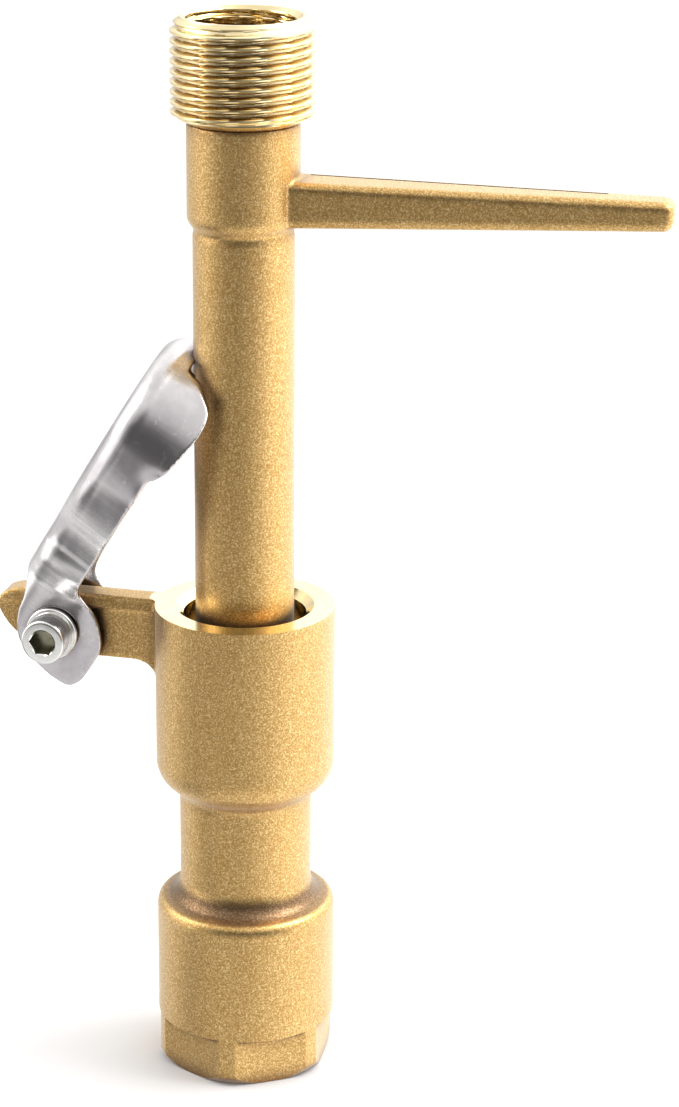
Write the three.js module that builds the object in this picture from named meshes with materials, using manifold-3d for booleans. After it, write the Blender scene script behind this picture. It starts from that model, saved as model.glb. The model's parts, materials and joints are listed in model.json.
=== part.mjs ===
// Quick-coupling garden valve, 3/4 inch, with its key pushed in and its cover leaning on the key.
// Millimetres, +Z up. The origin is the centre of the base's bottom face; the hinge arm points to -X.

import * as THREE from 'three';
import { mergeVertices } from 'three/addons/utils/BufferGeometryUtils.js';
import Module from 'manifold-3d';

const wasm = await Module();
wasm.setup();

// ---- driving dimensions ----

const AROUND = 36; // facets around the large turned shapes
const FIT = 0.1; // gap between two faces that rest on each other

const PIPE_PITCH = 1.814; // G3/4 and G1/2 threads
const THREAD_DEPTH = 1.0;

const BODY_TOP = 93;
const BASE_R = 17.1;
const BASE_TOP = 31.8;
const NECK_R = 12.6;
const NECK_LOW = 37.6;
const NECK_HIGH = 54.6;
const COLLAR_R = 17;
const HEX_FLAT = 15.5; // centre to flat
const HEX_TOP = 9.6;
const HEX_TURN = 3; // degrees
const MOUTH_R = 11.6;
const MOUTH_CHAMFER = 1.5;
const MOUTH_FLOOR = 84;
const GUIDE_R = 9.85; // bore that the key slides in
const SEAT_Z = 35;
const SEAT_R = 8.8;
const CHAMBER_R = 13.8;
const INLET_MINOR_R = 12.1;
const INLET_DEPTH = 14.5;

const LUG_TURN = 90; // degrees from open to the entry slots
const LUG_RISE = 5; // key lift over that turn
const LUG_R = 11.3;
const LUG_HALF = 12; // degrees
const LUG_LOW = 70;
const LUG_HIGH = 75;
const LUG_PLAY = 0.5;

const ARM_TOP = 93;
const ARM_BOTTOM = 80.8;
const ARM_HALF = 2.6; // half width of the flat top
const RAIL_HALF = 3.5;
const WEB_HALF = 3.1;
const RAIL_DEPTH = 2;

const PIVOT = { x: -36.1, z: 86.2 };
const PIVOT_BOSS_R = 5.1;
const PIVOT_BOSS_HALF = 4.2;
const COVER_ANGLE = 58.6; // degrees up from closed
const COVER_TILT = 4.5; // degrees to the near side, from the play in the hinge
const SHEET = 1.2;
const COVER_TOP = 11.5; // pivot to the cover's outer face
const CHEEK = 6.2; // outer faces, from the middle plane
const CHEEK_PLAY = 0.5; // room for the tilted cheeks beside the washers
const FLANGE = 10;
const CAP_R = 19.3;
const CAP_CENTRE = 44.5; // along the cover from the pivot

const SCREW_R = 2.45; // M5
const WASHER_R = 5;
const WASHER_T = 1;
const HEAD_R = 4.25;
const HEAD_H = 5;
const SOCKET_FLAT = 2.3; // centre to flat
const NUT_H = 4.7;

const KEY_TURN = 5; // degrees, where the handle stands
const KEY_TOP = 204;
const KEY_TUBE_R = 9.3;
const KEY_BORE_R = 7.2;
const KEY_TIP = 32.8;
const KEY_TIP_R = 8.2;
const KEY_TIP_BORE = 6.2;
const KEY_COLLAR_R = 10.3;
const KEY_COLLAR_LOW = 165.7;
const KEY_COLLAR_HIGH = 185.1;
const HEAD_CREST_R = 13.15;
const HEAD_LOW = 186;
const OUTLET_MINOR_R = 9.4;
const OUTLET_DEPTH = 14;
const HANDLE_Z = 171.1;
const HANDLE_END = 77.5;
const HANDLE_HALF = 5.1; // half its width at the root
const O_RING_Z = 50;
const O_RING_R = 8.95;
const O_RING_SECTION = 0.8;

const GUIDE_LOW = 17.9; // spring guide, above its retaining ring
const GUIDE_T = 2;
const STEM_R = 2.4;
const POPPET_LOW = 25.4;
const POPPET_R = 11;
const SPRING_R = 6;
const SPRING_WIRE = 0.55;

const BRASS = { color: 0xb08d57, roughness: 0.5, metalness: 0.9 };
const STEEL = { color: 0xc3c4c8, roughness: 0.3, metalness: 1 };
const RUBBER = { color: 0x1c1c1c, roughness: 0.8, metalness: 0 };

// ---- solids ----

const rad = (degrees) => (degrees * Math.PI) / 180;

// A closed mesh as a solid, with doubled vertices joined and empty triangles dropped.
function solid(geometry) {
  const bare = geometry.clone();
  bare.deleteAttribute('normal');
  bare.deleteAttribute('uv');
  const merged = mergeVertices(bare, 1e-4);
  const index = merged.index.array;
  const kept = [];
  for (let i = 0; i < index.length; i += 3) {
    const [a, b, c] = [index[i], index[i + 1], index[i + 2]];
    if (a !== b && b !== c && c !== a) kept.push(a, b, c);
  }
  const mesh = new wasm.Mesh({
    numProp: 3,
    vertProperties: new Float32Array(merged.attributes.position.array),
    triVerts: new Uint32Array(kept),
  });
  return new wasm.Manifold(mesh);
}

function toGeometry(body) {
  const mesh = body.getMesh();
  const geometry = new THREE.BufferGeometry();
  geometry.setAttribute('position', new THREE.BufferAttribute(new Float32Array(mesh.vertProperties), 3));
  geometry.setIndex(new THREE.BufferAttribute(new Uint32Array(mesh.triVerts), 1));
  geometry.computeVertexNormals();
  return geometry;
}

// Revolves [radius, height] pairs about Z. The pairs run up the outside.
function turned(pairs, around = AROUND) {
  const points = pairs.map(([r, z]) => new THREE.Vector2(r, z));
  return solid(new THREE.LatheGeometry(points, around).rotateX(Math.PI / 2));
}

function rod(radius, low, high, around = AROUND) {
  return turned([[0, low], [radius, low], [radius, high], [0, high]], around);
}

// A rod along Y.
function crossRod(radius, from, to, around = 24) {
  const geometry = new THREE.CylinderGeometry(radius, radius, to - from, around);
  return solid(geometry.translate(0, (from + to) / 2, 0));
}

function shapeOf(pairs) {
  return new THREE.Shape(pairs.map(([x, y]) => new THREE.Vector2(x, y)));
}

// A flat outline in X and Y, raised along Z.
function plate(shape, low, high, curveSegments = 12) {
  const options = { depth: high - low, bevelEnabled: false, curveSegments };
  return solid(new THREE.ExtrudeGeometry(shape, options).translate(0, 0, low));
}

// An outline in X and Z, spread along Y to both sides of the middle plane.
function slab(shape, half, bevel = 0, segments = 2) {
  const options = {
    depth: 2 * (half - bevel),
    bevelEnabled: bevel > 0,
    bevelThickness: bevel,
    bevelSize: bevel,
    bevelOffset: -bevel,
    bevelSegments: segments,
    curveSegments: 6,
  };
  const geometry = new THREE.ExtrudeGeometry(shape, options);
  return geometry.translate(0, 0, -(half - bevel)).rotateX(Math.PI / 2);
}

// Part of a ring, through [angle in degrees, low, high] stations that go round Z.
function ringBand(inner, outer, stations) {
  const positions = [];
  for (const [angle, low, high] of stations) {
    const [c, s] = [Math.cos(rad(angle)), Math.sin(rad(angle))];
    for (const [r, z] of [[inner, low], [outer, low], [outer, high], [inner, high]]) {
      positions.push(r * c, r * s, z);
    }
  }
  const index = [0, 1, 2, 0, 2, 3];
  const end = 4 * (stations.length - 1);
  index.push(end, end + 2, end + 1, end, end + 3, end + 2);
  for (let a = 0; a < end; a += 4) {
    for (let side = 0; side < 4; side += 1) {
      const next = (side + 1) % 4;
      index.push(a + side, a + 4 + side, a + 4 + next, a + side, a + 4 + next, a + next);
    }
  }
  const geometry = new THREE.BufferGeometry();
  geometry.setAttribute('position', new THREE.Float32BufferAttribute(positions, 3));
  geometry.setIndex(index);
  return solid(geometry);
}

// Part of a ring with flat ends, between two angles.
function ringSector(inner, outer, from, to, low, high) {
  const stations = [];
  const steps = Math.ceil((to - from) / 10);
  for (let i = 0; i <= steps; i += 1) {
    stations.push([from + ((to - from) * i) / steps, low, high]);
  }
  return ringBand(inner, outer, stations);
}

function joined(bodies) {
  return bodies.reduce((all, next) => all.add(next));
}

function hexagon(flat, turn = 0) {
  const pairs = [];
  for (let i = 0; i < 6; i += 1) {
    const angle = rad(60 * i + turn);
    const corner = flat / Math.cos(rad(30));
    pairs.push([corner * Math.cos(angle), corner * Math.sin(angle)]);
  }
  return shapeOf(pairs);
}

function piece(name, body, look) {
  const material = new THREE.MeshStandardMaterial(look);
  const mesh = new THREE.Mesh(toGeometry(body), material);
  mesh.name = name;
  return mesh;
}

// Thread ridges, each a closed ring: [radius, height] pairs going up from low to high.
function ridges(rootR, crestR, low, high) {
  const pairs = [];
  const count = Math.floor((high - low) / PIPE_PITCH);
  for (let i = 0; i < count; i += 1) {
    const z = low + i * PIPE_PITCH;
    pairs.push([rootR, z + 0.2 * PIPE_PITCH]);
    pairs.push([crestR, z + 0.7 * PIPE_PITCH]);
  }
  return pairs;
}

// ---- valve body ----

function bodyOutside() {
  const pairs = [
    [0, 0], [BASE_R - 0.9, 0], [BASE_R, 0.9], [BASE_R, BASE_TOP],
    [16.9, 32.7], [16.4, 33.4], [15.6, 33.7], [14.6, 34], [13.6, 34.9], [12.9, 36.2],
    [NECK_R, NECK_LOW], [NECK_R, NECK_HIGH],
    [12.9, 55.7], [13.8, 56.7], [15.2, 57.8], [16.3, 59.2], [16.9, 61],
    [COLLAR_R, 62.3], [COLLAR_R, BODY_TOP], [0, BODY_TOP],
  ];
  return turned(pairs, 48);
}

function bodyBore() {
  const pairs = [
    [0, -1], [INLET_MINOR_R + 1.6, -1], [INLET_MINOR_R + 1.6, 0.6],
    ...ridges(INLET_MINOR_R, INLET_MINOR_R + THREAD_DEPTH, 0.9, INLET_DEPTH),
    [12.3, 15.5], [12.3, 16.3], [13.3, 16.3], [13.3, 17.7], [12.3, 17.7], [12.3, 20.6],
    [CHAMBER_R, 22], [CHAMBER_R, 30], [11.8, SEAT_Z + 0.6], [SEAT_R + 1.4, SEAT_Z + 0.6],
    [SEAT_R + 1.1, SEAT_Z], [SEAT_R, SEAT_Z], [SEAT_R, 38], [GUIDE_R, 39.5],
    [GUIDE_R, MOUTH_FLOOR - 1], [GUIDE_R + 1, MOUTH_FLOOR], [MOUTH_R, MOUTH_FLOOR],
    [MOUTH_R, BODY_TOP - MOUTH_CHAMFER], [MOUTH_R + MOUTH_CHAMFER, BODY_TOP],
    [MOUTH_R + MOUTH_CHAMFER, BODY_TOP + 1], [0, BODY_TOP + 1],
  ];
  return turned(pairs);
}

// Everything outside the six flats at the foot of the body.
function hexCutter() {
  const outline = new THREE.Shape();
  outline.absarc(0, 0, BASE_R + 3, 0, 2 * Math.PI, false);
  outline.holes.push(new THREE.Path(hexagon(HEX_FLAT, HEX_TURN - 90).getPoints()));
  return plate(outline, -1, HEX_TOP);
}

// The rising grooves that the key's two lugs run in, each with its entry slot at the top end.
function lugWays() {
  const half = LUG_HALF + 3;
  const step = 7.5;
  const share = (angle) => Math.min(1, Math.max(0, angle / LUG_TURN));
  const ways = [];
  for (const start of [90 + KEY_TURN, 270 + KEY_TURN]) {
    const stations = [];
    for (let angle = -half; angle <= LUG_TURN + half; angle += step) {
      const low = LUG_LOW - LUG_PLAY + LUG_RISE * share(angle - half);
      const high = LUG_HIGH + LUG_PLAY + LUG_RISE * share(angle + half);
      stations.push([start + angle, low, high]);
    }
    ways.push(ringBand(GUIDE_R - 1, LUG_R + LUG_PLAY, stations));
    const entry = start + LUG_TURN;
    const slotLow = LUG_HIGH + LUG_RISE - 1;
    ways.push(ringSector(GUIDE_R - 1, LUG_R + LUG_PLAY, entry - half, entry + half, slotLow, MOUTH_FLOOR + 1));
  }
  return joined(ways);
}

function armSide() {
  const end = -48.3;
  const shape = new THREE.Shape();
  shape.moveTo(-13, ARM_BOTTOM - 5);
  shape.lineTo(-13, ARM_TOP);
  shape.lineTo(end + 4, ARM_TOP);
  shape.bezierCurveTo(end + 1.2, ARM_TOP, end, ARM_TOP - 1.6, end, ARM_TOP - 3.4);
  shape.bezierCurveTo(end, ARM_TOP - 5.6, end + 2.2, ARM_TOP - 7.4, end + 3.6, ARM_TOP - 8.8);
  shape.lineTo(end + 6.4, ARM_BOTTOM + 0.9);
  shape.lineTo(end + 8.4, ARM_BOTTOM);
  shape.lineTo(-19.5, ARM_BOTTOM);
  shape.lineTo(-17.6, ARM_BOTTOM - 1.2);
  shape.lineTo(-16.2, ARM_BOTTOM - 3.5);
  return shape;
}

// The cast arm: a bevelled top rail on a slightly thinner web, with a boss at the pivot.
function arm() {
  const shoulder = ARM_TOP - RAIL_DEPTH;
  const half = [
    [ARM_HALF, ARM_TOP], [RAIL_HALF, shoulder], [WEB_HALF, shoulder - 0.3], [WEB_HALF, ARM_BOTTOM + 0.6],
    [WEB_HALF - 0.6, ARM_BOTTOM], [WEB_HALF - 0.6, ARM_BOTTOM - 6],
  ];
  const other = half.map(([y, z]) => [-y, z]).reverse();
  const section = plate(shapeOf([...half, ...other].reverse()), -10, 60).rotate([90, 0, -90]);
  const bar = solid(slab(armSide(), RAIL_HALF + 1)).intersect(section);
  const boss = crossRod(PIVOT_BOSS_R, -PIVOT_BOSS_HALF, PIVOT_BOSS_HALF).translate([PIVOT.x, 0, PIVOT.z]);
  return bar.add(boss);
}

function valveBody() {
  const hole = crossRod(SCREW_R + 0.25, -9, 9).translate([PIVOT.x, 0, PIVOT.z]);
  const body = bodyOutside().subtract(hexCutter()).add(arm());
  return body.subtract(bodyBore()).subtract(lugWays()).subtract(hole);
}

// ---- inside the valve ----

function springGuide() {
  const low = GUIDE_LOW;
  const high = GUIDE_LOW + GUIDE_T;
  const rim = turned([[10.2, low], [12.1, low], [12.1, high], [10.2, high], [10.2, low]]);
  const hub = rod(7, low, high, 24);
  const spokes = [0, 60, 120].map((angle) => {
    const bar = new THREE.BoxGeometry(22, 2.4, GUIDE_T);
    return solid(bar.rotateZ(rad(angle)).translate(0, 0, (low + high) / 2));
  });
  const hole = rod(STEM_R + 0.3, low - 1, high + 1, 24);
  return joined([rim, hub, ...spokes]).subtract(hole);
}

function retainingRing() {
  const [low, high] = [16.6, 17.6];
  const ears = [72, 108].map((angle) => {
    const ear = rod(1.7, low, high, 16).subtract(rod(0.8, low - 1, high + 1, 12));
    return ear.translate([10.7 * Math.cos(rad(angle)), 10.7 * Math.sin(rad(angle)), 0]);
  });
  return joined([ringSector(11.4, 13.1, 108, 432, low, high), ...ears]);
}

function poppetStem() {
  return turned([
    [0, 12], [STEM_R - 0.5, 12], [STEM_R, 12.5], [STEM_R, POPPET_LOW], [POPPET_R, POPPET_LOW],
    [POPPET_R, 27.2], [4, 27.2], [4, 31], [0, 31],
  ], 32);
}

function poppetSeal() {
  return turned([[4.1, 27.3], [POPPET_R, 27.3], [POPPET_R, 29.8], [4.1, 29.8], [4.1, 27.3]], 32);
}

function poppetCap() {
  return turned([
    [4.1, 29.9], [7.2, 29.9], [7.6, 30.3], [7.6, 32.1], [7.1, 32.6], [0, 32.6], [0, 31.2], [4.1, 31.2],
    [4.1, 29.9],
  ], 32);
}

function returnSpring() {
  const low = GUIDE_LOW + GUIDE_T + FIT + SPRING_WIRE;
  const high = POPPET_LOW - FIT - SPRING_WIRE;
  const turns = 3;
  const steps = 45;
  const points = [];
  for (let i = 0; i <= steps; i += 1) {
    const angle = (2 * Math.PI * turns * i) / steps;
    const z = low + ((high - low) * i) / steps;
    points.push(new THREE.Vector3(SPRING_R * Math.cos(angle), SPRING_R * Math.sin(angle), z));
  }
  const section = new THREE.Shape();
  section.absarc(0, 0, SPRING_WIRE, 0, 2 * Math.PI, false);
  const extrudePath = new THREE.CatmullRomCurve3(points);
  return solid(new THREE.ExtrudeGeometry(section, { extrudePath, steps: 48, curveSegments: 3 }));
}

// ---- cover and its hinge ----

// The cover is drawn closed: X along it from the pivot, Y across, Z up from the pivot.
function coverPlan(inset) {
  const side = [
    [6, CHEEK - inset], [8.4 + 0.4 * inset, CHEEK - inset], [11.2 + 0.4 * inset, FLANGE - inset],
    [17, FLANGE + 0.2 - inset], [21, 11.9 - inset], [26, 15.5 - inset], [30.5, 18 - inset],
    [35, 19 - inset], [39, CAP_R - inset], [CAP_CENTRE, CAP_R - inset],
  ];
  const rear = inset > 0 ? -20 : -10;
  const tip = [];
  for (let angle = 80; angle > -85; angle -= 10) {
    const r = CAP_R - inset;
    tip.push([CAP_CENTRE + r * Math.cos(rad(angle)), r * Math.sin(rad(angle))]);
  }
  const other = side.map(([x, y]) => [x, -y]).reverse();
  return shapeOf([[rear, CHEEK - inset], ...side, ...tip, ...other, [rear, -(CHEEK - inset)]].reverse());
}

// Side view of what is left of the pressing: cheeks, flange edge, lobes and tip notch.
function coverSide() {
  return shapeOf([
    [5.8, 13], [66, 13], [66, 4.9], [60.2, 4.9], [59.9, 1.9], [59.3, 0.2], [58.2, -1.9], [56.7, -2.9],
    [54, -3.1], [50.8, -2.7], [46, -1.8], [42.9, -0.6], [42.3, 0.4], [36, 0.4], [29, 0.4],
    [21, 0.5], [14, 0.8], [11.3, 0.6], [9.4, -0.2], [8.4, -2], [7.6, -4], [6.2, -5.9],
    [4.3, -7.6], [2.6, -8.7], [0.5, -9.2], [-4.9, -9.1], [-6.9, -8.5], [-8.3, -7.1], [-8.4, -3.6],
    [-7.7, -0.1], [-7, 2.6], [-5.7, 4.8], [-3.5, 6.8], [-0.3, 8.3], [2.5, 8.6], [4.8, 9.6], [5.8, 10.9],
  ]);
}

function coverBody() {
  const round = 2.6;
  const options = {
    depth: 20,
    bevelEnabled: true,
    bevelThickness: round,
    bevelSize: round,
    bevelOffset: -round,
    bevelSegments: 3,
    curveSegments: 8,
  };
  const outside = new THREE.ExtrudeGeometry(coverPlan(0), options).translate(0, 0, COVER_TOP - 20 - round);
  const innerRound = round - SHEET * 0.6;
  const innerOptions = {
    ...options,
    bevelThickness: innerRound,
    bevelSize: innerRound,
    bevelOffset: -innerRound,
    bevelSegments: 2,
  };
  const insideTop = COVER_TOP - SHEET;
  const inside = new THREE.ExtrudeGeometry(coverPlan(SHEET), innerOptions);
  inside.translate(0, 0, insideTop - 20 - innerRound);
  const trimmed = solid(outside).subtract(solid(inside)).intersect(solid(slab(coverSide(), 30)));
  const hole = crossRod(SCREW_R + 0.25, -9, 9).rotate([-COVER_TILT, 0, 0]);
  return trimmed.subtract(hole).subtract(tubeClearance());
}

// The round notch in the cover's tip that lets it lie against the key, in the cover's own frame.
function tubeClearance() {
  const tube = rod(KEY_TUBE_R + 0.3, -80, 120, 48);
  return tube.translate([-PIVOT.x, 0, 0]).rotate([0, COVER_ANGLE, 0]).rotate([-COVER_TILT, 0, 0]);
}

function hingeScrew() {
  const under = CHEEK + CHEEK_PLAY + FIT + WASHER_T;
  const end = under + NUT_H + 1;
  const shank = crossRod(SCREW_R, -under - 1, end);
  const face = -under - HEAD_H;
  const head = crossRod(HEAD_R, face + 0.4, -under, 32).add(crossRod(HEAD_R - 0.4, face, face + 1, 32));
  const socket = plate(hexagon(SOCKET_FLAT), 0, 3.2);
  const cut = socket.rotate([90, 0, 0]).translate([0, face + 2.6, 0]);
  return shank.add(head).subtract(cut);
}

function washer(side) {
  const near = side * (CHEEK + CHEEK_PLAY);
  const far = side * (CHEEK + CHEEK_PLAY + WASHER_T);
  const [low, high] = [Math.min(near, far), Math.max(near, far)];
  return crossRod(WASHER_R, low, high, 32).subtract(crossRod(SCREW_R + 0.15, low - 1, high + 1));
}

function hingeNut() {
  const near = CHEEK + CHEEK_PLAY + FIT + WASHER_T;
  const hexPart = plate(hexagon(4), 0, NUT_H - 1.2).rotate([-90, 0, 0]).translate([0, near, 0]);
  const collar = crossRod(3.6, near + 2, near + NUT_H);
  return hexPart.add(collar).subtract(crossRod(SCREW_R + 0.1, near - 1, near + NUT_H + 1));
}

// ---- key ----

function keyOutside() {
  const groove = 1.1;
  return turned([
    [0, KEY_TIP], [KEY_TIP_R - 0.5, KEY_TIP], [KEY_TIP_R, KEY_TIP + 0.5], [KEY_TIP_R, 42],
    [KEY_TUBE_R, 43.5], [KEY_TUBE_R, O_RING_Z - groove], [8.05, O_RING_Z - groove],
    [8.05, O_RING_Z + groove], [KEY_TUBE_R, O_RING_Z + groove], [KEY_TUBE_R, KEY_COLLAR_LOW - 2.2],
    [KEY_TUBE_R - 0.3, KEY_COLLAR_LOW - 1.8], [KEY_TUBE_R - 0.3, KEY_COLLAR_LOW - 0.4],
    [KEY_TUBE_R, KEY_COLLAR_LOW], [KEY_COLLAR_R, KEY_COLLAR_LOW + 1.9],
    [KEY_COLLAR_R, KEY_COLLAR_HIGH], [HEAD_CREST_R - 1.3, HEAD_LOW],
    ...ridges(HEAD_CREST_R - THREAD_DEPTH, HEAD_CREST_R, HEAD_LOW, KEY_TOP - 0.8),
    [HEAD_CREST_R - THREAD_DEPTH, KEY_TOP - 0.6], [HEAD_CREST_R - THREAD_DEPTH - 0.3, KEY_TOP], [0, KEY_TOP],
  ]);
}

function keyBore() {
  const low = KEY_TOP - OUTLET_DEPTH;
  return turned([
    [0, KEY_TIP - 1], [KEY_TIP_BORE, KEY_TIP - 1], [KEY_TIP_BORE, 42], [KEY_BORE_R, 44],
    [KEY_BORE_R, low - 1.5], [OUTLET_MINOR_R, low],
    ...ridges(OUTLET_MINOR_R, OUTLET_MINOR_R + THREAD_DEPTH, low, KEY_TOP - 0.7),
    [OUTLET_MINOR_R + 0.2, KEY_TOP - 0.7], [10.8, KEY_TOP], [10.8, KEY_TOP + 1], [0, KEY_TOP + 1],
  ]);
}

// The side handle tapers in height and in width toward its round tip.
function handle() {
  const shape = new THREE.Shape();
  const start = 8.6;
  const rootTop = 4;
  const rootBottom = 4.6;
  const tipTop = 2.5;
  const tipBottom = 2.8;
  const tip = HANDLE_END - 2.8;
  shape.moveTo(start, -rootBottom - 1.2);
  shape.lineTo(10.4, -rootBottom - 0.9);
  shape.lineTo(12, -rootBottom + 0.1);
  shape.lineTo(tip, -tipBottom);
  shape.bezierCurveTo(HANDLE_END - 0.8, -tipBottom, HANDLE_END, -1.4, HANDLE_END, 0);
  shape.bezierCurveTo(HANDLE_END, 1.3, HANDLE_END - 0.8, tipTop, tip, tipTop);
  shape.lineTo(13.4, rootTop);
  shape.lineTo(11.6, rootTop + 0.6);
  shape.lineTo(10.4, rootTop + 2);
  shape.lineTo(start, rootTop + 3.4);
  const geometry = slab(shape, HANDLE_HALF, 1.2, 3);
  const position = geometry.attributes.position;
  const taper = 0.33;
  for (let i = 0; i < position.count; i += 1) {
    const along = (position.getX(i) - start) / (HANDLE_END - start);
    position.setY(i, position.getY(i) * (1 - taper * along));
  }
  return solid(geometry.translate(0, 0, HANDLE_Z));
}

function keyBody() {
  const lugs = [90, 270].map((middle) => {
    return ringSector(KEY_TUBE_R - 1, LUG_R, middle - LUG_HALF, middle + LUG_HALF, LUG_LOW, LUG_HIGH);
  });
  const windows = [45, 135].map((angle) => {
    const cut = new THREE.BoxGeometry(30, 5, 8);
    return solid(cut.rotateZ(rad(angle)).translate(0, 0, KEY_TIP + 3));
  });
  const body = joined([keyOutside(), handle(), ...lugs]).subtract(keyBore());
  return windows.reduce((all, cut) => all.subtract(cut), body);
}

function keyORing() {
  const section = [];
  for (let i = 0; i <= 8; i += 1) {
    const angle = rad(45 * i - 90);
    const [c, s] = [Math.cos(angle), Math.sin(angle)];
    section.push([O_RING_R + O_RING_SECTION * c, O_RING_Z + O_RING_SECTION * s]);
  }
  section[section.length - 1] = [...section[0]];
  return turned(section);
}

// ---- assembly ----

const valve = new THREE.Group();
valve.add(piece('valve_body', valveBody(), BRASS));
valve.add(piece('spring_guide', springGuide(), BRASS));
valve.add(piece('guide_retaining_ring', retainingRing(), STEEL));
valve.add(piece('return_spring', returnSpring(), STEEL));
valve.add(piece('poppet_stem', poppetStem(), BRASS));
valve.add(piece('poppet_seal', poppetSeal(), RUBBER));
valve.add(piece('poppet_cap', poppetCap(), BRASS));

const cover = new THREE.Group();
cover.position.set(PIVOT.x, 0, PIVOT.z);
cover.rotation.y = -rad(COVER_ANGLE);
const pressing = new THREE.Group();
pressing.rotation.x = rad(COVER_TILT);
pressing.add(piece('cover', coverBody(), STEEL));
cover.add(pressing);
cover.add(piece('hinge_screw', hingeScrew(), STEEL));
cover.add(piece('hinge_washer_front', washer(-1), STEEL));
cover.add(piece('hinge_washer_rear', washer(1), STEEL));
cover.add(piece('hinge_nut', hingeNut(), STEEL));

const key = new THREE.Group();
key.rotation.z = rad(KEY_TURN);
key.add(piece('key_body', keyBody(), BRASS));
key.add(piece('key_o_ring', keyORing(), RUBBER));

const assembly = new THREE.Group();
assembly.add(valve, cover, key);

export default assembly;
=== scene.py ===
"""Garden quick-coupling valve with its key in: the fine surfaces, finishes, light and camera.

Sizes in this script are millimetres in the part's own frame; meshes are made in metres.
"""

import json
import math

import bmesh
import bpy
from mathutils import Matrix, Vector


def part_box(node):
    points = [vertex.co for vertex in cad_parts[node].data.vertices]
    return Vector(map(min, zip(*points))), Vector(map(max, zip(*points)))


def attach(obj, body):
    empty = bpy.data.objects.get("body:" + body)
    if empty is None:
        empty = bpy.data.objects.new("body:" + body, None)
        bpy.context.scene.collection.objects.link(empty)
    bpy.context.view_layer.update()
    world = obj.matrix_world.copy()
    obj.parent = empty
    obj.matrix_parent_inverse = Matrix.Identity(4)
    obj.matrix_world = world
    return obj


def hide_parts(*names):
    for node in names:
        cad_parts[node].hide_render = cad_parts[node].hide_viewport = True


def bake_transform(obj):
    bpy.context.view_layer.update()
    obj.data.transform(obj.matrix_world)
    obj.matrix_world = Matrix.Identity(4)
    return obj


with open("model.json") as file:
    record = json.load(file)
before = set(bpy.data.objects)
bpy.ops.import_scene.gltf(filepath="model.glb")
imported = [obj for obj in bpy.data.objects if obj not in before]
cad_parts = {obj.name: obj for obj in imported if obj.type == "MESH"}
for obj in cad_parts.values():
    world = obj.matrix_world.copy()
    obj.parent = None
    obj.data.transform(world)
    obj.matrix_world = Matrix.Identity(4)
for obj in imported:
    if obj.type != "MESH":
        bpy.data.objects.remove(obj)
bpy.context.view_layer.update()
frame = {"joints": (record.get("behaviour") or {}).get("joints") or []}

# ---- driving dimensions, from the frame where it holds them ----

MM = 0.001
AROUND = 144  # points round the large turned shapes
CAST_VOXEL = 0.35
SHEET_VOXEL = 0.22


def node_box(node):
    low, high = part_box(node)
    return low / MM, high / MM


def joint(name):
    return next(j for j in frame["joints"] if j["name"] == name)


BODY_LOW, BODY_HIGH = node_box("valve_body")
KEY_LOW, KEY_HIGH = node_box("key_body")
BODY_TOP = BODY_HIGH.z
BASE_R = BODY_HIGH.y
ARM_END = BODY_LOW.x
KEY_TIP = KEY_LOW.z
KEY_TOP = KEY_HIGH.z
KEY_TURN = math.radians(5)
PIVOT = Vector(joint("cover_hinge")["pos_m"]) / MM
AT_PIVOT = Matrix.Translation((PIVOT.x, 0, PIVOT.z))
COVER_ANGLE = math.radians(58.6)
COVER_TILT = math.radians(4.5)

PITCH = 1.814  # G3/4 and G1/2 pipe threads
THREAD_DEPTH = 1.0
BASE_TOP = 31.8
NECK_R = 12.6
NECK_LOW = 37.6
NECK_HIGH = 54.6
COLLAR_R = 17
HEX_FLAT = 15.5  # centre to flat
HEX_TOP = 9.6
HEX_TURN = math.radians(33)
MOUTH_R = 11.6
MOUTH_CHAMFER = 1.5
MOUTH_FLOOR = 84
GUIDE_R = 9.85  # bore that the key slides in
SEAT_Z = 35
SEAT_R = 8.8
CHAMBER_R = 13.8
CLIP_BORE_R = 12.3
CLIP_GROOVE_R = 13.3
INLET_R = 12.1
INLET_DEPTH = 14.5

LUG_TURN = 90  # degrees from open to the entry slots
LUG_RISE = 5  # key lift over that turn
LUG_R = 11.3
LUG_HALF = 12  # degrees
LUG_LOW = 70
LUG_HIGH = 75
LUG_PLAY = 0.5

ARM_BOTTOM = 80.8
RAIL_HALF = 3.5
RAIL_TOP_HALF = 2.6
WEB_HALF = 3.1
RAIL_DEPTH = 2
BOSS_R = 5.1
BOSS_HALF = 4.2

SHEET = 1.2
COVER_TOP = 11.5
CHEEK = 6.2
CHEEK_PLAY = 0.5
FLANGE = 10
CAP_R = 19.3
CAP_CENTRE = 44.5
MARGIN = 14  # how far the uncut pressing reaches behind and below the pivot
BEND = 4.6  # radius of the cover's rounded top edge
DRAFT = 0.20  # how much the cover's side walls lean in, for each unit of height

SCREW_R = 2.45
SCREW_PITCH = 0.8
HEAD_R = 4.25
HEAD_H = 5
SOCKET_FLAT = 2.3  # centre to flat
WASHER_R = 5
WASHER_T = 1
NUT_FLAT = 4
NUT_H = 4.7

TUBE_R = 9.3
TUBE_BORE_R = 7.2
TIP_R = 8.2
TIP_BORE_R = 6.2
KEY_COLLAR_R = 10.3
KEY_COLLAR_LOW = 165.7
KEY_COLLAR_HIGH = 185.1
HEAD_CREST_R = 13.15
HEAD_LOW = 186
OUTLET_R = 9.4
OUTLET_DEPTH = 14
HANDLE_Z = 171.1
HANDLE_START = 7.5
HANDLE_END = 77.5
HANDLE_HALF = 5.1  # half its width at the root
HANDLE_TAPER = 0.33
O_RING_Z = 50
O_RING_R = 8.95
O_RING_SECTION = 0.8

POPPET_R = 11
POPPET_LOW = 25.4
STEM_R = 2.4
SPRING_R = 6
SPRING_WIRE_R = 0.52
SPRING_TURNS = 3


# ---- mesh helpers ----


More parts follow.
